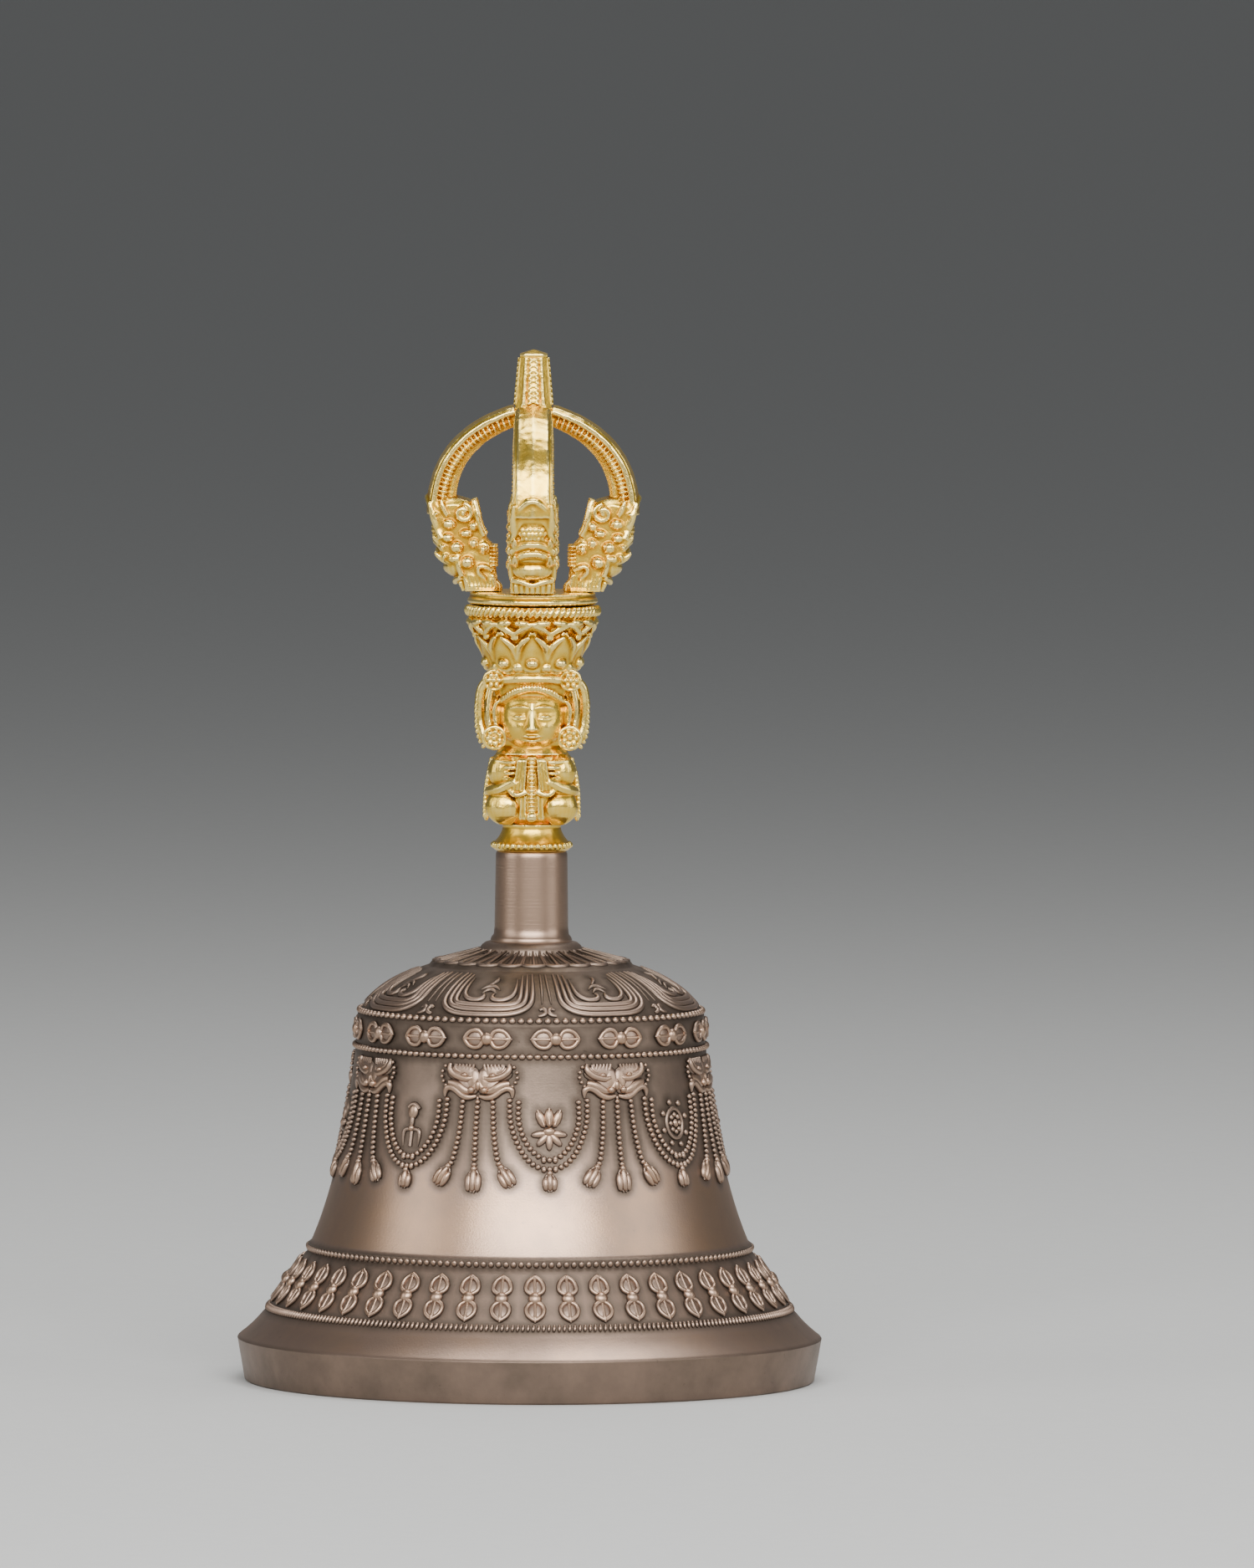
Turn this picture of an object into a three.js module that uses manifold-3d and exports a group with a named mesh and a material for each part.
// A Tibetan hand bell: a cast bell-bronze bowl, a turned neck sleeve and a gilded handle, which is a praying
// figure under a half vajra. One tie rod clamps the whole stack, and an iron clapper hangs on its lower end.
// Millimetres, +Z up, origin at the centre of the lip's resting face. The figure faces -Y.
import * as THREE from "three";
import { mergeVertices } from "three/addons/utils/BufferGeometryUtils.js";
import Module from "manifold-3d";

const wasm = await Module();
wasm.setup();

// ---- Driving dimensions ----------------------------------------------------------------------------------

// Bowl, outside: radius at each named height.
const LIP_FOOT_RADIUS = 49.2;
const LIP_RADIUS = 50.5;
const LIP_EDGE_Z = 7.5;
const BAND_FOOT = { r: 45.6, z: 12.0 };
const WAIST = { r: 38.2, z: 22.6 };
const WAIST_BEND = { r: 32.0, z: 37.0 };
const SHOULDER = { r: 30.2, z: 58.0 };
const CROWN_EDGE = { r: 29.9, z: 63.4 };
const CROWN_BEND = { r: 24.2, z: 71.8 };
const COLLAR_FOOT = { r: 9.2, z: 73.5 };
const COLLAR_TOP = { r: 7.3, z: 75.9 };

// Bowl, inside.
const MOUTH_RADIUS = 43.6;
const SOUND_BOW = { r: 42.2, z: 6.5 };
const INNER_WAIST = { r: 36.2, z: 19.0 };
const INNER_WAIST_BEND = { r: 29.5, z: 34.0 };
const INNER_SHOULDER = { r: 27.3, z: 57.0 };
const INNER_CROWN_BEND = { r: 26.5, z: 68.0 };
const CEILING_Z = 69.0;
const CEILING_FLAT_RADIUS = 9.0;

// Heights of the stacked pieces above the bowl.
const SLEEVE_TOP_Z = 91.6;
const FOOT_TOP_Z = 96.2;
const BUST_TOP_Z = 108.3;
const HEAD_TOP_Z = 122.2;
const CUP_TOP_Z = 134.1;
const SEAT_TOP_Z = 136.3;
const HUB_Z = 163.6;
const POINT_Z = 168.2;
const PYRAMID_Z = 177.0;
const TIP_Z = 178.0;

// Tie rod: a 4 mm stud, in holes with running clearance.
const ROD_RADIUS = 2.0;
const ROD_HOLE_RADIUS = 2.3;
const ROD_LOW_Z = 63.6;
const ROD_HIGH_Z = 139.5;
const ROD_END_GAP = 0.3;

// Bore of the sleeve round the tie rod.
const SLEEVE_BORE_RADIUS = 4.4;

// Crown hardware, inside the bowl.
const WASHER = { r: 6.5, thick: 0.8 };
const NUT = { acrossCorners: 8.1, thick: 2.5 };
const EYE_BOSS = { r: 3.3, thick: 4.0 };

// Three interlocked loops: each is a ring of wire. The gap keeps them apart where they hang.
const EYE_LOOP = { major: 3.0, wire: 1.0 };
const LINK_LOOP = { major: 3.6, wire: 0.85 };
const CLAPPER_LOOP = { major: 2.9, wire: 0.95 };
const LOOP_GAP = 0.1;

// Clapper, below its loop.
const BULB = { r: 6.5, z: 9.5, low: 2.6 };
const STEM = { low: { r: 3.3, z: 18.0 }, high: { r: 2.1, z: 34.0 } };

// How far a loop's wire is sunk into the piece that it is forged to.
const LOOP_SUNK = 0.4;

// Half vajra: four curved prongs round a straight one.
const PRONG_WIDTH = 7.2;
const MAKARA_WIDTH = 8.8;
const BOW = { inner: 13.4, outer: 18.2, foot: 150.0, top: 168.2 };
const HUB_HALF = 3.85;
const POINT_HALF = 2.7;
const APEX_HALF = 0.3;
const HUB_GAP = 0.3;

// Figure: depth over width of the body and of the head.
const BUST_DEPTH = 0.84;
const HEAD_DEPTH = 0.8;

// Sides of a turned piece: the bowl, the smaller turnings, the thin ones and the forged stem.
const ROUND = 64;
const SMALL_ROUND = 28;
const THIN_ROUND = 20;
const STEM_SIDES = 8;

// How far a cutting tool runs past the piece, and how far two joined blocks overlap.
const PAST = 1.0;
const LAP = 0.6;

// ---- Materials -------------------------------------------------------------------------------------------

const BELL_BRONZE = new THREE.MeshStandardMaterial({ color: 0x8a7462, roughness: 0.42, metalness: 1.0 });
const GILT = new THREE.MeshStandardMaterial({ color: 0xd9b24a, roughness: 0.3, metalness: 1.0 });
const IRON = new THREE.MeshStandardMaterial({ color: 0x4b4744, roughness: 0.55, metalness: 1.0 });
const STEEL = new THREE.MeshStandardMaterial({ color: 0x9a9a98, roughness: 0.35, metalness: 1.0 });

// ---- Shape helpers ---------------------------------------------------------------------------------------

// Turns (radius, height) points about +Z. The list runs up the outside and down the inside.
function turned(points, segments = ROUND) {
  return new THREE.LatheGeometry(points, segments).rotateX(Math.PI / 2);
}

function points(pairs) {
  return pairs.map(([r, z]) => new THREE.Vector2(r, z));
}

// A sleeve or stepped ring: the outline given as [radius, height] pairs, closed on itself.
function turnedRing(pairs) {
  return turned(points([...pairs, pairs[0]]), SMALL_ROUND);
}

function cylinder(radius, low, high, segments = SMALL_ROUND) {
  return new THREE.CylinderGeometry(radius, radius, high - low, segments)
    .rotateX(Math.PI / 2)
    .translate(0, 0, (low + high) / 2);
}

// A ring of wire round a centre on the axis. Its hole faces Y, or X when acrossX is set.
function loop({ major, wire }, centreZ, acrossX = false) {
  const ring = new THREE.TorusGeometry(major, wire, 10, 24).rotateX(Math.PI / 2);
  if (acrossX) ring.rotateZ(Math.PI / 2);
  return ring.translate(0, 0, centreZ);
}

// three.js geometry to a manifold-3d solid, and back.
function solid(geometry) {
  const bare = geometry.clone();
  bare.deleteAttribute("normal");
  bare.deleteAttribute("uv");
  const merged = mergeVertices(bare, 1e-4);
  return new wasm.Manifold(
    new wasm.Mesh({
      numProp: 3,
      vertProperties: merged.attributes.position.array,
      triVerts: new Uint32Array(merged.index.array),
    }),
  );
}

function geometryOf(body) {
  const mesh = body.getMesh();
  const made = new THREE.BufferGeometry();
  made.setAttribute("position", new THREE.BufferAttribute(new Float32Array(mesh.vertProperties), 3));
  made.setIndex(new THREE.BufferAttribute(new Uint32Array(mesh.triVerts), 1));
  made.computeVertexNormals();
  return made;
}

function joined(...geometries) {
  return geometryOf(geometries.map(solid).reduce((all, one) => all.add(one)));
}

function cut(geometry, ...tools) {
  return geometryOf(tools.reduce((left, tool) => left.subtract(solid(tool)), solid(geometry)));
}

// The tie rod's hole, right through a piece that runs from low to high.
function drilled(geometry, low, high) {
  return cut(geometry, cylinder(ROD_HOLE_RADIUS, low - PAST, high + PAST));
}

function piece(group, name, geometry, material) {
  const mesh = new THREE.Mesh(geometry, material.clone());
  mesh.name = name;
  group.add(mesh);
  return mesh;
}

// ---- Bowl and neck ---------------------------------------------------------------------------------------

// One casting: the flared lip, the sloping band, the hollow waist, the crown and the collar on top.
function bellBody() {
  const wall = new THREE.Path();
  wall.moveTo(LIP_FOOT_RADIUS, 0);
  wall.lineTo(LIP_RADIUS, LIP_EDGE_Z);
  wall.lineTo(BAND_FOOT.r, BAND_FOOT.z);
  wall.lineTo(WAIST.r, WAIST.z);
  wall.quadraticCurveTo(WAIST_BEND.r, WAIST_BEND.z, SHOULDER.r, SHOULDER.z);
  wall.lineTo(CROWN_EDGE.r, CROWN_EDGE.z);
  wall.quadraticCurveTo(CROWN_BEND.r, CROWN_BEND.z, COLLAR_FOOT.r, COLLAR_FOOT.z);
  wall.lineTo(COLLAR_TOP.r, COLLAR_TOP.z);
  wall.lineTo(ROD_HOLE_RADIUS, COLLAR_TOP.z);
  wall.lineTo(ROD_HOLE_RADIUS, CEILING_Z);
  wall.lineTo(CEILING_FLAT_RADIUS, CEILING_Z);
  wall.quadraticCurveTo(INNER_CROWN_BEND.r, INNER_CROWN_BEND.z, INNER_SHOULDER.r, INNER_SHOULDER.z);
  wall.quadraticCurveTo(INNER_WAIST_BEND.r, INNER_WAIST_BEND.z, INNER_WAIST.r, INNER_WAIST.z);
  wall.lineTo(SOUND_BOW.r, SOUND_BOW.z);
  wall.lineTo(MOUTH_RADIUS, 0);
  wall.lineTo(LIP_FOOT_RADIUS, 0);
  return turned(wall.getPoints(6));
}

// A turned tube with a flared foot, standing on the collar.
function neckSleeve() {
  return turnedRing([
    [7.0, COLLAR_TOP.z],
    [7.0, COLLAR_TOP.z + 0.5],
    [6.4, COLLAR_TOP.z + 2.3],
    [6.15, SLEEVE_TOP_Z - 0.5],
    [5.8, SLEEVE_TOP_Z],
    [SLEEVE_BORE_RADIUS, SLEEVE_TOP_Z],
    [SLEEVE_BORE_RADIUS, COLLAR_TOP.z],
  ]);
}

// ---- Gilded handle ---------------------------------------------------------------------------------------

// A waisted foot with a rounded rim.
function handleFoot() {
  return turnedRing([
    [6.4, SLEEVE_TOP_Z],
    [7.1, SLEEVE_TOP_Z + 0.6],
    [7.0, SLEEVE_TOP_Z + 1.3],
    [6.2, SLEEVE_TOP_Z + 1.9],
    [5.1, FOOT_TOP_Z - 0.8],
    [5.0, FOOT_TOP_Z],
    [ROD_HOLE_RADIUS, FOOT_TOP_Z],
    [ROD_HOLE_RADIUS, SLEEVE_TOP_Z],
  ]);
}

// A turned body flattened front to back, with the tie rod's hole.
function ovalBody(pairs, depth) {
  const [low, high] = [pairs[0][1], pairs.at(-1)[1]];
  const outline = points([[0, low], ...pairs, [0, high]]);
  return drilled(turned(outline, SMALL_ROUND).scale(1, depth, 1), low, high);
}

function goddessBust() {
  const shape = [
    [6.6, FOOT_TOP_Z],
    [8.0, FOOT_TOP_Z + 2.0],
    [8.4, FOOT_TOP_Z + 4.8],
    [7.8, BUST_TOP_Z - 3.7],
    [6.9, BUST_TOP_Z],
  ];
  return ovalBody(shape, BUST_DEPTH);
}

function goddessHead() {
  const shape = [
    [6.9, BUST_TOP_Z],
    [8.8, BUST_TOP_Z + 2.5],
    [9.9, BUST_TOP_Z + 6.7],
    [10.1, HEAD_TOP_Z - 3.6],
    [8.6, HEAD_TOP_Z - 1.2],
    [7.9, HEAD_TOP_Z],
  ];
  return ovalBody(shape, HEAD_DEPTH);
}

function lotusCup() {
  return turnedRing([
    [8.0, HEAD_TOP_Z],
    [9.4, HEAD_TOP_Z + 3.0],
    [11.2, HEAD_TOP_Z + 6.4],
    [11.8, CUP_TOP_Z - 2.1],
    [12.2, CUP_TOP_Z - 1.2],
    [11.7, CUP_TOP_Z],
    [ROD_HOLE_RADIUS, CUP_TOP_Z],
    [ROD_HOLE_RADIUS, HEAD_TOP_Z],
  ]);
}

function vajraSeat() {
  return turnedRing([
    [11.7, CUP_TOP_Z],
    [11.9, SEAT_TOP_Z - 0.9],
    [11.4, SEAT_TOP_Z],
    [ROD_HOLE_RADIUS, SEAT_TOP_Z],
    [ROD_HOLE_RADIUS, CUP_TOP_Z],
  ]);
}

// ---- Half vajra ------------------------------------------------------------------------------------------

// A flat plate standing in the XZ plane, centred on Y.
function plate(outline, width) {
  const flat = new THREE.ExtrudeGeometry(new THREE.Shape(outline.getPoints(5)), {
    depth: width,
    bevelEnabled: false,
  });
  return flat.translate(0, 0, -width / 2).rotateX(Math.PI / 2);
}

// The bowed upper half of a prong, running out to +X.
function prongBow() {
  const bow = new THREE.Path();
  bow.moveTo(BOW.inner, BOW.foot);
  bow.lineTo(BOW.outer, BOW.foot);
  bow.bezierCurveTo(BOW.outer, 158.5, 13.5, 165.2, HUB_HALF + HUB_GAP, BOW.top);
  bow.lineTo(HUB_HALF + HUB_GAP, HUB_Z);
  bow.bezierCurveTo(9.0, 162.6, 13.0, 158.0, BOW.inner, BOW.foot);
  return plate(bow, PRONG_WIDTH);
}

// The sea monster's head that the bow springs from, and its foot on the seat.
function prongHead() {
  const head = new THREE.Path();
  const [jaw, brow, crest] = [SEAT_TOP_Z + 2.9, BOW.foot - 3.4, BOW.foot + 2.8];
  head.moveTo(6.0, SEAT_TOP_Z);
  head.lineTo(11.4, SEAT_TOP_Z);
  head.lineTo(13.6, jaw);
  head.quadraticCurveTo(17.2, jaw + 3.0, 17.0, brow);
  head.lineTo(BOW.outer + 0.1, BOW.foot + 0.8);
  head.lineTo(17.4, crest);
  head.lineTo(12.6, crest);
  head.quadraticCurveTo(9.2, crest - 0.8, 8.8, brow + 2.0);
  head.quadraticCurveTo(8.0, brow - 1.6, 6.4, brow - 4.0);
  head.lineTo(6.0, SEAT_TOP_Z);
  return plate(head, MAKARA_WIDTH);
}

function curvedProng() {
  return joined(prongBow(), prongHead());
}

// A slim turned spire with one ringed knop, screwed down on the tie rod's upper end.
function centreProng() {
  const spire = [
    [0, SEAT_TOP_Z],
    [3.5, SEAT_TOP_Z],
    [3.5, SEAT_TOP_Z + 4.1],
    [2.2, SEAT_TOP_Z + 7.1],
    [2.0, BOW.foot],
    [2.7, BOW.foot + 1.0],
    [2.7, BOW.foot + 2.4],
    [2.0, BOW.foot + 3.4],
    [2.5, HUB_Z],
    [0, HUB_Z],
  ];
  const socket = cylinder(ROD_HOLE_RADIUS, SEAT_TOP_Z - PAST, ROD_HIGH_Z + ROD_END_GAP);
  return cut(turned(points(spire), THIN_ROUND), socket);
}

// A square block that tapers from `bottom` to `top`, given as half widths.
function taperedBlock(bottom, top, low, high) {
  const block = new THREE.CylinderGeometry(top * Math.SQRT2, bottom * Math.SQRT2, high - low, 4);
  return block
    .rotateX(Math.PI / 2)
    .rotateZ(Math.PI / 4)
    .translate(0, 0, (low + high) / 2);
}

// The hub that all the prongs meet, the square point above it, and its low pyramid.
function vajraTip() {
  return joined(
    taperedBlock(HUB_HALF, HUB_HALF - 0.2, HUB_Z, POINT_Z + LAP),
    taperedBlock(HUB_HALF - 0.4, POINT_HALF, POINT_Z, PYRAMID_Z),
    taperedBlock(POINT_HALF, APEX_HALF, PYRAMID_Z, TIP_Z),
  );
}

// ---- Tie rod and crown hardware --------------------------------------------------------------------------

const WASHER_LOW_Z = CEILING_Z - WASHER.thick;
const NUT_LOW_Z = WASHER_LOW_Z - NUT.thick;
const BOSS_LOW_Z = NUT_LOW_Z - EYE_BOSS.thick;

function washer() {
  return turnedRing([
    [WASHER.r, WASHER_LOW_Z],
    [WASHER.r, CEILING_Z],
    [ROD_HOLE_RADIUS, CEILING_Z],
    [ROD_HOLE_RADIUS, WASHER_LOW_Z],
  ]);
}

function hexNut() {
  const blank = cylinder(NUT.acrossCorners / 2, NUT_LOW_Z, WASHER_LOW_Z, 6);
  return drilled(blank, NUT_LOW_Z, WASHER_LOW_Z);
}

// ---- Clapper ---------------------------------------------------------------------------------------------

// Each loop's lowest wire carries the next loop's highest wire, a wire thickness above it.
const EYE_CENTRE_Z = BOSS_LOW_Z + LOOP_SUNK - EYE_LOOP.major;
const LINK_PIVOT_Z = EYE_CENTRE_Z - EYE_LOOP.major;
const LINK_CENTRE_Z = LINK_PIVOT_Z + EYE_LOOP.wire + LOOP_GAP + LINK_LOOP.wire - LINK_LOOP.major;
const CLAPPER_PIVOT_Z = LINK_CENTRE_Z - LINK_LOOP.major;
const CLAPPER_LOOP_Z = CLAPPER_PIVOT_Z + LINK_LOOP.wire + LOOP_GAP + CLAPPER_LOOP.wire - CLAPPER_LOOP.major;

// An eye nut: the boss screws on the tie rod under the hex nut.
function clapperEye() {
  const boss = cylinder(EYE_BOSS.r, BOSS_LOW_Z, NUT_LOW_Z, THIN_ROUND);
  const socket = cylinder(ROD_HOLE_RADIUS, ROD_LOW_Z - ROD_END_GAP, NUT_LOW_Z + PAST, THIN_ROUND);
  return joined(cut(boss, socket), loop(EYE_LOOP, EYE_CENTRE_Z));
}

// A forged eight-sided stem that swells to a bulb, with a loop on top.
function clapper() {
  const stemTop = CLAPPER_LOOP_Z - CLAPPER_LOOP.major + LOOP_SUNK;
  const stem = [
    [0, BULB.low],
    [1.6, BULB.low + 0.5],
    [2.2, BULB.low + 1.6],
    [5.4, BULB.z - 3.5],
    [BULB.r, BULB.z],
    [5.4, BULB.z + 4.1],
    [STEM.low.r, STEM.low.z],
    [STEM.high.r, STEM.high.z],
    [1.5, stemTop],
    [0, stemTop],
  ];
  return joined(turned(points(stem), STEM_SIDES), loop(CLAPPER_LOOP, CLAPPER_LOOP_Z));
}

// ---- Assembly --------------------------------------------------------------------------------------------

const bell = new THREE.Group();
const handle = new THREE.Group();
const halfVajra = new THREE.Group();
const crownHardware = new THREE.Group();
const hangingClapper = new THREE.Group();
handle.add(halfVajra);
bell.add(handle, crownHardware, hangingClapper);

piece(bell, "bell_body", bellBody(), BELL_BRONZE);
piece(bell, "neck_sleeve", neckSleeve(), BELL_BRONZE);

piece(handle, "handle_foot", handleFoot(), GILT);
piece(handle, "goddess_bust", goddessBust(), GILT);
piece(handle, "goddess_head", goddessHead(), GILT);
piece(handle, "lotus_cup", lotusCup(), GILT);

// The curved prong runs out to +X as made, and each copy is turned to its own side.
const PRONG_SIDES = { right: 0, back: Math.PI / 2, left: Math.PI, front: -Math.PI / 2 };
piece(halfVajra, "vajra_seat", vajraSeat(), GILT);
for (const [side, turn] of Object.entries(PRONG_SIDES)) {
  piece(halfVajra, `prong_${side}`, curvedProng(), GILT).rotation.z = turn;
}
piece(halfVajra, "prong_centre", centreProng(), GILT);
piece(halfVajra, "vajra_tip", vajraTip(), GILT);

piece(crownHardware, "tie_rod", cylinder(ROD_RADIUS, ROD_LOW_Z, ROD_HIGH_Z, THIN_ROUND), STEEL);
piece(crownHardware, "crown_washer", washer(), STEEL);
piece(crownHardware, "crown_nut", hexNut(), STEEL);

piece(hangingClapper, "clapper_eye", clapperEye(), IRON);
piece(hangingClapper, "clapper_link", loop(LINK_LOOP, LINK_CENTRE_Z, true), STEEL);
piece(hangingClapper, "clapper", clapper(), IRON);

export default bell;
